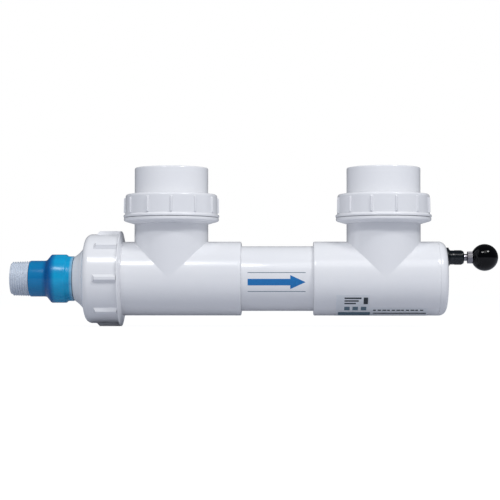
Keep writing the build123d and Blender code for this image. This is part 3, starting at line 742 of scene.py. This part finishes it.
ripple = add(tree, "ShaderNodeBump",
             {"Strength": 0.03, "Distance": 0.00004, "Height": streaks.outputs["Fac"]})
feed(tree, skin, {
    "Base Color": tint.outputs["Result"],
    "Roughness": dulling.outputs["Result"],
    "Normal": ripple.outputs["Normal"],
    "IOR": 1.49,
    "Transmission Weight": 0.12,
})

outline = [
    (CAP_ROOT_R + 0.2, CAP_THREAD_X),
    (CAP_ROOT_R + 0.2, CAP_MOUTH),
    (CAP_SKIRT_R, CAP_MOUTH, 0.4),
    (CAP_SKIRT_R, CAP_SKIRT_X, 0.5),
    (CAP_R, CAP_FLARE_X, 0.8),
    (CAP_R, CAP_SHOULDER_X, 0.8),
    (CAP_TAIL_R, CAP_TAIL_X, 1.5),
    (CAP_TAIL_R, CAP_END, 1.0),
    (CAP_HOLE_R, CAP_END, 0.3),
    (CAP_HOLE_R, CAP_FLOOR_X),
    (CAP_CHAMBER_R, CAP_FLOOR_X),
    (CAP_CHAMBER_R, CAP_THREAD_END_X),
    (CAP_ROOT_R + 0.2, CAP_THREAD_END_X),
]
bm = spin_outline(outline, closed=False)
add_thread(bm, CAP_BORE_R, CAP_ROOT_R, CAP_THREAD_X, CAP_THREAD_END_X, NECK_PITCH)
lay_along_run(bm, -1)
finish_piece(bm, "lamp_cap_moulding", blue_acrylic, "cap", "blue_cap_plastic", "lamp_cap")


# Conduit nipple. A moulded pale nylon nipple with a 1 inch taper thread, for the fitting on the lamp's
# lead. Its spigot turns in the cap, held by a steel ring.
NIPPLE_R = 16.3
NIPPLE_PITCH = 25.4 / 11.5
NIPPLE_THREAD_DEPTH = 1.3
PIPE_TAPER = 1 / 32
NIPPLE_FACE = 231.4
NIPPLE_END = 249.0
NIPPLE_BORE_R = 11.7
NIPPLE_STEP_X = 233.0
SPIGOT_R = 12.5
SPIGOT_BORE_R = 9.7
SPIGOT_END_X = 211.0

# Moulded nylon is a waxy, slightly grey white. Cutting oil and handling leave it a little cloudy.
pale_nylon, tree, skin, place = start_finish("moulded_pale_nylon")
clouds = add(tree, "ShaderNodeTexNoise",
             {"Vector": place, "Scale": scale_for(7.69), "Detail": 5.0, "Roughness": 0.6})
tint = add(tree, "ShaderNodeMix",
           {"Factor": clouds.outputs["Fac"], "A": linear("C8D2DF"), "B": linear("E4EAF1")},
           data_type="RGBA")
dulling = add(tree, "ShaderNodeMapRange",
              {"Value": clouds.outputs["Fac"], "From Min": 0.3, "From Max": 0.7,
               "To Min": 0.3, "To Max": 0.45})
grain = add(tree, "ShaderNodeTexNoise", {"Vector": place, "Scale": scale_for(0.625), "Detail": 2.0})
relief = add(tree, "ShaderNodeBump",
             {"Strength": 0.12, "Distance": 0.00006, "Height": grain.outputs["Fac"]})
feed(tree, skin, {
    "Base Color": tint.outputs["Result"],
    "Roughness": dulling.outputs["Result"],
    "Normal": relief.outputs["Normal"],
    "IOR": 1.53,
})

thread_end = NIPPLE_END - 1.8
end_r = NIPPLE_R - PIPE_TAPER * (thread_end - NIPPLE_FACE)
outline = [
    (end_r - NIPPLE_THREAD_DEPTH - 0.2, thread_end),
    (end_r - NIPPLE_THREAD_DEPTH, NIPPLE_END - 0.3, 0.3),
    (NIPPLE_BORE_R, NIPPLE_END, 0.4),
    (NIPPLE_BORE_R, NIPPLE_STEP_X),
    (SPIGOT_BORE_R, NIPPLE_STEP_X),
    (SPIGOT_BORE_R, SPIGOT_END_X, 0.4),
    (SPIGOT_R, SPIGOT_END_X, 0.4),
    (SPIGOT_R, NIPPLE_FACE),
    (NIPPLE_R - NIPPLE_THREAD_DEPTH - 0.2, NIPPLE_FACE),
]
bm = spin_outline(outline, closed=False)
add_thread(bm, NIPPLE_R - NIPPLE_THREAD_DEPTH, NIPPLE_R, NIPPLE_FACE, thread_end, NIPPLE_PITCH,
           taper=PIPE_TAPER)
lay_along_run(bm, -1)
finish_piece(bm, "conduit_nipple_threaded", pale_nylon, "lamp", "pale_nylon", "conduit_nipple")


# Gland. A black nylon gland with a thin flared flange, screwed into the end cap. Its fluted nut squeezes
# a rubber sleeve on the wiper's rod.
GLAND_R = 6.8
GLAND_SHANK_R = 5.0
GLAND_HOLE_R = 3.5
GLAND_SEAL_R = 4.9
GLAND_SEAL_X = 161.0
GLAND_SPLIT = 164.0
WASHER_R = 9.25
WASHER_NECK_R = 7.3
WASHER_EDGE_X = 159.0
WASHER_TOP = 160.4
GLAND_NUT_HOLE_R = 3.475
GLAND_NUT_TIP_R = 5.4
GLAND_NUT_END_X = 173.3
FLUTE_FOOT_X = 164.6
FLUTE_HEAD_X = 170.9
FLUTES = 20
FLUTE_SHARE = 0.34
FLUTE_FLANK = 0.08
FLUTE_PROUD = 0.24

# Moulded black nylon is a blue-black with a soft satin skin and a fine matt grain.
black_nylon, tree, skin, place = start_finish("moulded_black_nylon")
scuffs = add(tree, "ShaderNodeTexNoise",
             {"Vector": place, "Scale": scale_for(3.33), "Detail": 6.0, "Roughness": 0.7})
tint = add(tree, "ShaderNodeMix",
           {"Factor": scuffs.outputs["Fac"], "A": linear("04070A"), "B": linear("121C24")},
           data_type="RGBA")
dulling = add(tree, "ShaderNodeMapRange",
              {"Value": scuffs.outputs["Fac"], "From Min": 0.3, "From Max": 0.7,
               "To Min": 0.16, "To Max": 0.3})
relief = add(tree, "ShaderNodeBump",
             {"Strength": 0.1, "Distance": 0.0001, "Height": scuffs.outputs["Fac"]})
feed(tree, skin, {
    "Base Color": tint.outputs["Result"],
    "Roughness": dulling.outputs["Result"],
    "Normal": relief.outputs["Normal"],
    "IOR": 1.53,
})


def lay_on_rod(bm):
    """Turn a piece made about Z onto the wiper rod's line."""
    lay_along_run(bm)
    shift(bm, z=ROD_Z)


outline = [
    (GLAND_SHANK_R, CAP_FACE_X),
    (WASHER_R - 0.25, CAP_FACE_X),
    (WASHER_R, CAP_FACE_X + 0.3),
    (WASHER_R, WASHER_EDGE_X),
    (WASHER_R - 0.25, WASHER_EDGE_X + 0.3, 0.1),
    (WASHER_NECK_R + 0.5, WASHER_EDGE_X + 0.6),
    (WASHER_NECK_R + 0.1, WASHER_EDGE_X + 1.0, 0.2),
    (WASHER_NECK_R, WASHER_TOP),
    (GLAND_SHANK_R, WASHER_TOP),
]
bm = spin_outline(outline)
lay_on_rod(bm)
finish_piece(bm, "gland_washer_flared", black_nylon, "housing", "black_nylon", "gland_washer")

outline = [
    (GLAND_HOLE_R, cap_inside),
    (GLAND_SHANK_R, cap_inside, 0.3),
    (GLAND_SHANK_R, WASHER_TOP),
    (GLAND_R - 0.2, WASHER_TOP, 0.3),
    (GLAND_R - 0.2, GLAND_SPLIT, 0.3),
    (GLAND_SEAL_R, GLAND_SPLIT),
    (GLAND_SEAL_R, GLAND_SEAL_X),
    (GLAND_HOLE_R, GLAND_SEAL_X),
]
bm = spin_outline(outline)
lay_on_rod(bm)
finish_piece(bm, "gland_body_turned", black_nylon, "housing", "black_nylon", "gland_body")

outline = [
    (GLAND_NUT_HOLE_R, GLAND_SPLIT),
    (GLAND_R - 0.25, GLAND_SPLIT, 0.2),
    (GLAND_R - 0.25, FLUTE_FOOT_X),
    (GLAND_R - 0.25, FLUTE_HEAD_X),
    (GLAND_R - 0.25, FLUTE_HEAD_X + 0.8, 0.3),
    (GLAND_NUT_TIP_R, GLAND_NUT_END_X, 0.3),
    (GLAND_NUT_HOLE_R, GLAND_NUT_END_X, 0.3),
]
bm = spin_outline(outline)
bmesh.ops.recalc_face_normals(bm, faces=bm.faces)
bm.normal_update()
raise_ribs(bm, FLUTES, FLUTE_SHARE, FLUTE_FLANK, FLUTE_PROUD, FLUTE_FOOT_X, FLUTE_HEAD_X)
lay_on_rod(bm)
finish_piece(bm, "gland_nut_fluted", black_nylon, "housing", "black_nylon", "gland_nut")


# Wiper rod. A quarter inch drawn stainless rod, which pulls the wiper carriage along the sleeve. A
# stainless hexagon nut locks the ball on its outer end.
ROD_R = 3.175
ROD_IN_END_X = -147.0
ROD_OUT_END_X = 190.8
ROD_STEPS = 64
ROD_NUT_FLATS = 11.1
JAM_NUT_X = (176.8, 181.3)
NUT_CORNER_CUTS = 24

# Drawn stainless is bright, with fine draw lines along the bar, so its highlight is one long streak.
drawn_steel, tree, skin, place = start_finish("drawn_stainless_steel")
along = add(tree, "ShaderNodeMapping", {"Vector": place, "Scale": (0.02, 1.0, 1.0)})
draw_lines = add(tree, "ShaderNodeTexNoise",
                 {"Vector": along.outputs[0], "Scale": scale_for(0.667), "Detail": 3.0})
tint = add(tree, "ShaderNodeMix",
           {"Factor": draw_lines.outputs["Fac"], "A": linear("7F7D83"), "B": linear("ABA9AE")},
           data_type="RGBA")
dulling = add(tree, "ShaderNodeMapRange",
              {"Value": draw_lines.outputs["Fac"], "From Min": 0.3, "From Max": 0.7,
               "To Min": 0.16, "To Max": 0.32})
relief = add(tree, "ShaderNodeBump",
             {"Strength": 0.06, "Distance": 0.00003, "Height": draw_lines.outputs["Fac"]})
feed(tree, skin, {
    "Base Color": tint.outputs["Result"],
    "Roughness": dulling.outputs["Result"],
    "Normal": relief.outputs["Normal"],
    "Metallic": 1.0,
})

outline = [
    (0, ROD_IN_END_X),
    (ROD_R, ROD_IN_END_X, 0.5),
    (ROD_R, ROD_OUT_END_X, 0.3),
    (0, ROD_OUT_END_X),
]
bm = spin_outline(outline, closed=False, steps=ROD_STEPS)
lay_on_rod(bm)
finish_piece(bm, "wiper_rod_drawn", drawn_steel, "wiper", "stainless_steel", "wiper_rod")

bm = bmesh.new()
bmesh.ops.create_circle(bm, segments=6, radius=ROD_NUT_FLATS / math.sqrt(3) * MM)
bmesh.ops.create_circle(bm, segments=60, radius=(ROD_R + 0.05) * MM)
bmesh.ops.bridge_loops(bm, edges=bm.edges[:])
shift(bm, z=JAM_NUT_X[0])
top = new_verts(bmesh.ops.extrude_face_region(bm, geom=bm.faces[:]))
shift(bm, z=JAM_NUT_X[1] - JAM_NUT_X[0], verts=top)
bmesh.ops.recalc_face_normals(bm, faces=bm.faces)

# The nut's corners are turned off in cones of 30 degrees, here as many flat cuts.
for height, side in zip(JAM_NUT_X, (-1, 1)):
    for number in range(NUT_CORNER_CUTS):
        turn = math.tau * number / NUT_CORNER_CUTS
        flat_point = (math.cos(turn) * ROD_NUT_FLATS / 2, math.sin(turn) * ROD_NUT_FLATS / 2, height)
        made = saw(bm, flat_point, (math.cos(turn), math.sin(turn), side * math.sqrt(3)), clear_outer=True)
        rim = [item for item in made["geom_cut"]
               if isinstance(item, bmesh.types.BMEdge) and item.is_boundary]
        if rim:
            bmesh.ops.holes_fill(bm, edges=rim, sides=0)
lay_on_rod(bm)
finish_piece(bm, "jam_nut_hexagon", drawn_steel, "wiper", "stainless_steel", "jam_nut", sharp=12)


# Ball knob. A moulded phenolic ball, polished to a deep black gloss, with a flat where it meets the nut.
# It is screwed on the rod's outer end, and is what the hand pulls.
BALL_R = 12.5
BALL_X = 192.8

# Polished black phenolic is almost a mirror, with the faintest polishing haze over it.
black_phenolic, tree, skin, place = start_finish("polished_black_phenolic")
haze = add(tree, "ShaderNodeTexNoise",
           {"Vector": place, "Scale": scale_for(3.85), "Detail": 6.0, "Roughness": 0.6})
tint = add(tree, "ShaderNodeMix",
           {"Factor": haze.outputs["Fac"], "A": linear("020204"), "B": linear("050508")},
           data_type="RGBA")
dulling = add(tree, "ShaderNodeMapRange",
              {"Value": haze.outputs["Fac"], "From Min": 0.35, "From Max": 0.7,
               "To Min": 0.06, "To Max": 0.12})
feed(tree, skin, {
    "Base Color": tint.outputs["Result"],
    "Roughness": dulling.outputs["Result"],
    "IOR": 1.55,
    "Specular IOR Level": 0.25,
})

bm = bmesh.new()
bmesh.ops.create_uvsphere(bm, u_segments=128, v_segments=96, radius=BALL_R * MM)
shift(bm, z=BALL_X)
saw(bm, (0, 0, JAM_NUT_X[1]), (0, 0, 1), clear_inner=True)
bmesh.ops.holes_fill(bm, edges=[edge for edge in bm.edges if edge.is_boundary], sides=0)
lay_on_rod(bm)
finish_piece(bm, "ball_knob_polished", black_phenolic, "wiper", "black_phenolic", "ball_knob")


# Flow mark. A plain blue arrow with thin grey rules, screen printed on the front of the body pipe to show
# which way the water runs. The ink stands a few hundredths of a millimetre proud.
INK_THICK = 0.04
INK_SINK = 0.03
ARC_STEP = 1.0


def print_on_round(outlines, radius, thickness=INK_THICK):
    """Thin sheets of these flat outlines, (along, around) in mm, wrapped on the housing's front."""
    bm = bmesh.new()
    for outline in outlines:
        bm.faces.new([bm.verts.new((along * MM, around * MM, 0)) for along, around in outline])
    arcs = [around for outline in outlines for _, around in outline]
    cuts = math.ceil((max(arcs) - min(arcs)) / ARC_STEP)
    for cut in range(1, cuts):
        saw(bm, (0, min(arcs) + cut * ARC_STEP, 0), (0, 1, 0))
    top = new_verts(bmesh.ops.extrude_face_region(bm, geom=bm.faces[:]))
    shift(bm, z=thickness + INK_SINK, verts=top)
    for v in bm.verts:
        turn = v.co.y / (radius * MM)
        reach = (radius - INK_SINK) * MM + v.co.z
        v.co = (v.co.x, -reach * math.cos(turn), reach * math.sin(turn))
    return bm


def patch(left, right, low, high):
    """A plain rectangle for print_on_round."""
    return [(left, low), (right, low), (right, high), (left, high)]


# Screen ink is flat and slightly uneven, with pinholes where the mesh let less through.
def screen_ink(name, dark, light):
    """Ink material between two colours."""
    ink, tree, skin, place = start_finish(name)
    uneven = add(tree, "ShaderNodeTexNoise", {"Vector": place, "Scale": scale_for(1.43), "Detail": 4.0})
    tint = add(tree, "ShaderNodeMix",
               {"Factor": uneven.outputs["Fac"], "A": linear(dark), "B": linear(light)},
               data_type="RGBA")
    dulling = add(tree, "ShaderNodeMapRange",
                  {"Value": uneven.outputs["Fac"], "From Min": 0.3, "From Max": 0.7,
                   "To Min": 0.3, "To Max": 0.5})
    feed(tree, skin, {
        "Base Color": tint.outputs["Result"],
        "Roughness": dulling.outputs["Result"],
    })
    return ink


blue_ink = screen_ink("screen_printed_blue_ink", "0064A8", "1682CA")
grey_ink = screen_ink("screen_printed_grey_ink", "46606F", "6B8494")
dark_ink = screen_ink("screen_printed_dark_ink", "1C2228", "39424A")
ARROW_BACK = -27.0
ARROW_NECK = 12.0
ARROW_TIP = 26.0
ARROW_MIDDLE = -3.5
SHAFT_HALF = 3.0
BARB_HALF = 6.5
arrow = [
    (ARROW_BACK, ARROW_MIDDLE - SHAFT_HALF),
    (ARROW_NECK, ARROW_MIDDLE - SHAFT_HALF),
    (ARROW_NECK, ARROW_MIDDLE - BARB_HALF),
    (ARROW_TIP, ARROW_MIDDLE),
    (ARROW_NECK, ARROW_MIDDLE + BARB_HALF),
    (ARROW_NECK, ARROW_MIDDLE + SHAFT_HALF),
    (ARROW_BACK, ARROW_MIDDLE + SHAFT_HALF),
]
finish_piece(print_on_round([arrow], PIPE_R), "flow_arrow_print", blue_ink, "housing", "white_pvc")
RULE_WIDTH = 0.6
rules = [patch(ARROW_BACK, ARROW_TIP, low, low + RULE_WIDTH) for low in (5.0, -12.6)]
finish_piece(print_on_round(rules, PIPE_R), "flow_rules_print", grey_ink, "housing", "white_pvc")


# Label. A pale vinyl label, stuck low on the right tee and printed with plain dark bars and grey tiles.
# It says nothing, and only stands where a rating label would.
LABEL_THICK = 0.09

# Vinyl label film is a cooler, duller white than the fitting, with a slight wrinkle from being pressed on.
label_vinyl, tree, skin, place = start_finish("label_vinyl_film")
wrinkle = add(tree, "ShaderNodeTexNoise", {"Vector": place, "Scale": scale_for(5.26), "Detail": 4.0})
tint = add(tree, "ShaderNodeMix",
           {"Factor": wrinkle.outputs["Fac"], "A": linear("DCE1E6"), "B": linear("ECEEF0")},
           data_type="RGBA")
relief = add(tree, "ShaderNodeBump",
             {"Strength": 0.2, "Distance": 0.0001, "Height": wrinkle.outputs["Fac"]})
feed(tree, skin, {
    "Base Color": tint.outputs["Result"],
    "Normal": relief.outputs["Normal"],
    "Roughness": 0.35,
    "IOR": 1.53,
})

FILM_LEFT = 54.0
FILM_STEP = 84.5
FILM_RIGHT = 138.0
FILM_LOW = -58.0
FILM_MIDDLE = -31.0
FILM_HIGH = -15.5
film = [[(FILM_LEFT, FILM_LOW), (FILM_RIGHT, FILM_LOW), (FILM_RIGHT, FILM_MIDDLE), (FILM_STEP, FILM_MIDDLE),
         (FILM_STEP, FILM_HIGH), (FILM_LEFT, FILM_HIGH)]]
finish_piece(print_on_round(film, HUB_R, LABEL_THICK), "tee_label_film", label_vinyl, "housing",
             "white_pvc")

# Three short bars and a square stand on the left, and a broken row over a long bar on the right.
PRINT_LEFT = 61.5
BAR_PITCH = 3.0
BAR_WIDTH = 1.6
ROW_LEFT = 88.0
ROW_RIGHT = 137.0
ROW_PITCH = 4.3
ROW_DASHES = 11
bars = [patch(79.0, 83.0, -26.0, -18.4)]
for number in range(3):
    low = -20.0 - BAR_PITCH * number
    bars += [patch(PRINT_LEFT, 77.0 - 2.5 * number, low, low + BAR_WIDTH)]
for number in range(ROW_DASHES):
    left = ROW_LEFT + ROW_PITCH * number
    bars += [patch(left, left + 2.6 + 0.5 * (number % 3), -36.0, -34.0)]
bars += [patch(ROW_LEFT, ROW_RIGHT, -42.5, -40.0)]
finish_piece(print_on_round(bars, HUB_R + LABEL_THICK), "tee_label_bars", dark_ink, "housing",
             "white_pvc")

TILE_WIDTH = 5.0
TILE_PITCH = 7.6
tiles = []
for number in range(3):
    left = PRINT_LEFT + TILE_PITCH * number
    tiles += [patch(left, left + TILE_WIDTH, -35.0, -29.5)]
tiles += [patch(56.0, 85.5, -48.0, -38.5)]
finish_piece(print_on_round(tiles, HUB_R + LABEL_THICK), "tee_label_tiles", grey_ink, "housing",
             "white_pvc")


# Seals. Moulded nitrile rubber: the union O-rings, the sleeve's O-ring, the wiping lips, the gland's
# sleeve and the pad behind the quartz. They sit in their grooves as the CAD draws them.

# Nitrile rubber is a soft near-black with a faint bloom of grey dust.
nitrile_rubber, tree, skin, place = start_finish("moulded_nitrile_rubber")
bloom = add(tree, "ShaderNodeTexNoise",
            {"Vector": place, "Scale": scale_for(4.17), "Detail": 6.0, "Roughness": 0.7})
tint = add(tree, "ShaderNodeMix",
           {"Factor": bloom.outputs["Fac"], "A": linear("101012"), "B": linear("2C2D2F")},
           data_type="RGBA")
relief = add(tree, "ShaderNodeBump",
             {"Strength": 0.25, "Distance": 0.00008, "Height": bloom.outputs["Fac"]})
feed(tree, skin, {
    "Base Color": tint.outputs["Result"],
    "Normal": relief.outputs["Normal"],
    "Roughness": 0.62,
    "IOR": 1.52,
})


def dress(material, *nodes):
    """Give CAD nodes that keep their own mesh a material."""
    for node in nodes:
        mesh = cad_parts[node].data
        mesh.materials.clear()
        mesh.materials.append(material)


dress(nitrile_rubber, "inlet_oring", "outlet_oring", "housing_oring", "sleeve_oring", "sleeve_bumper",
      "wiper_rings", "gland_seal")


# Sleeve fittings. The pale nylon ring that squeezes the sleeve's O-ring, the cup that steadies the
# sleeve's far end, and the wiper's carriage, with the steel nuts and ring that hold them.
dress(pale_nylon, "compression_ring", "sleeve_support", "wiper_carriage")
dress(drawn_steel, "carriage_nuts", "nipple_retainer")


# Quartz sleeve and lamp tube. Drawn from fused quartz, clear and colourless, with faint draw lines. The
# lamp stands in ceramic ends with brass pins, and a wire brings the far end's current back.

# Fused quartz is very clear. Its draw lines bend what is seen through it a little.
fused_quartz, tree, skin, place = start_finish("drawn_fused_quartz")
along = add(tree, "ShaderNodeMapping", {"Vector": place, "Scale": (0.05, 1.0, 1.0)})
draw_lines = add(tree, "ShaderNodeTexNoise",
                 {"Vector": along.outputs[0], "Scale": scale_for(1.11), "Detail": 3.0})
tint = add(tree, "ShaderNodeMix",
           {"Factor": draw_lines.outputs["Fac"], "A": linear("F2F6F8"), "B": linear("FFFFFF")},
           data_type="RGBA")
relief = add(tree, "ShaderNodeBump",
             {"Strength": 0.08, "Distance": 0.00004, "Height": draw_lines.outputs["Fac"]})
feed(tree, skin, {
    "Base Color": tint.outputs["Result"],
    "Normal": relief.outputs["Normal"],
    "Roughness": 0.03,
    "IOR": 1.46,
    "Transmission Weight": 0.95,
})
dress(fused_quartz, "quartz_sleeve", "lamp_tube")

# Pressed steatite is a warm unglazed white, with a fine speckle of firing.
steatite, tree, skin, place = start_finish("pressed_steatite_ceramic")
speckle = add(tree, "ShaderNodeTexNoise", {"Vector": place, "Scale": scale_for(0.714), "Detail": 3.0})
tint = add(tree, "ShaderNodeMix",
           {"Factor": speckle.outputs["Fac"], "A": linear("D8D4C8"), "B": linear("F2F0E8")},
           data_type="RGBA")
relief = add(tree, "ShaderNodeBump",
             {"Strength": 0.3, "Distance": 0.00008, "Height": speckle.outputs["Fac"]})
feed(tree, skin, {
    "Base Color": tint.outputs["Result"],
    "Normal": relief.outputs["Normal"],
    "Roughness": 0.7,
})
dress(steatite, "lamp_socket", "lamp_base_near", "lamp_base_far")

# Turned brass pins are plated, with turning rings and a duller yellow where they have been wiped.
turned_brass, tree, skin, place = start_finish("turned_plated_brass")
across = add(tree, "ShaderNodeMapping", {"Vector": place, "Scale": (1.0, 0.05, 0.05)})
rings = add(tree, "ShaderNodeTexNoise",
            {"Vector": across.outputs[0], "Scale": scale_for(0.333), "Detail": 3.0})
tint = add(tree, "ShaderNodeMix",
           {"Factor": rings.outputs["Fac"], "A": linear("B08A45"), "B": linear("E2C27C")},
           data_type="RGBA")
feed(tree, skin, {
    "Base Color": tint.outputs["Result"],
    "Metallic": 1.0,
    "Roughness": 0.28,
})
dress(turned_brass, "lamp_pins")

# Extruded fluoropolymer insulation is a smooth, slightly translucent white.
wire_insulation, tree, skin, place = start_finish("extruded_fluoropolymer")
mottle = add(tree, "ShaderNodeTexNoise", {"Vector": place, "Scale": scale_for(1.25), "Detail": 3.0})
tint = add(tree, "ShaderNodeMix",
           {"Factor": mottle.outputs["Fac"], "A": linear("E2E2DE"), "B": linear("F4F4F2")},
           data_type="RGBA")
feed(tree, skin, {
    "Base Color": tint.outputs["Result"],
    "Roughness": 0.3,
})
dress(wire_insulation, "lamp_return_wire")
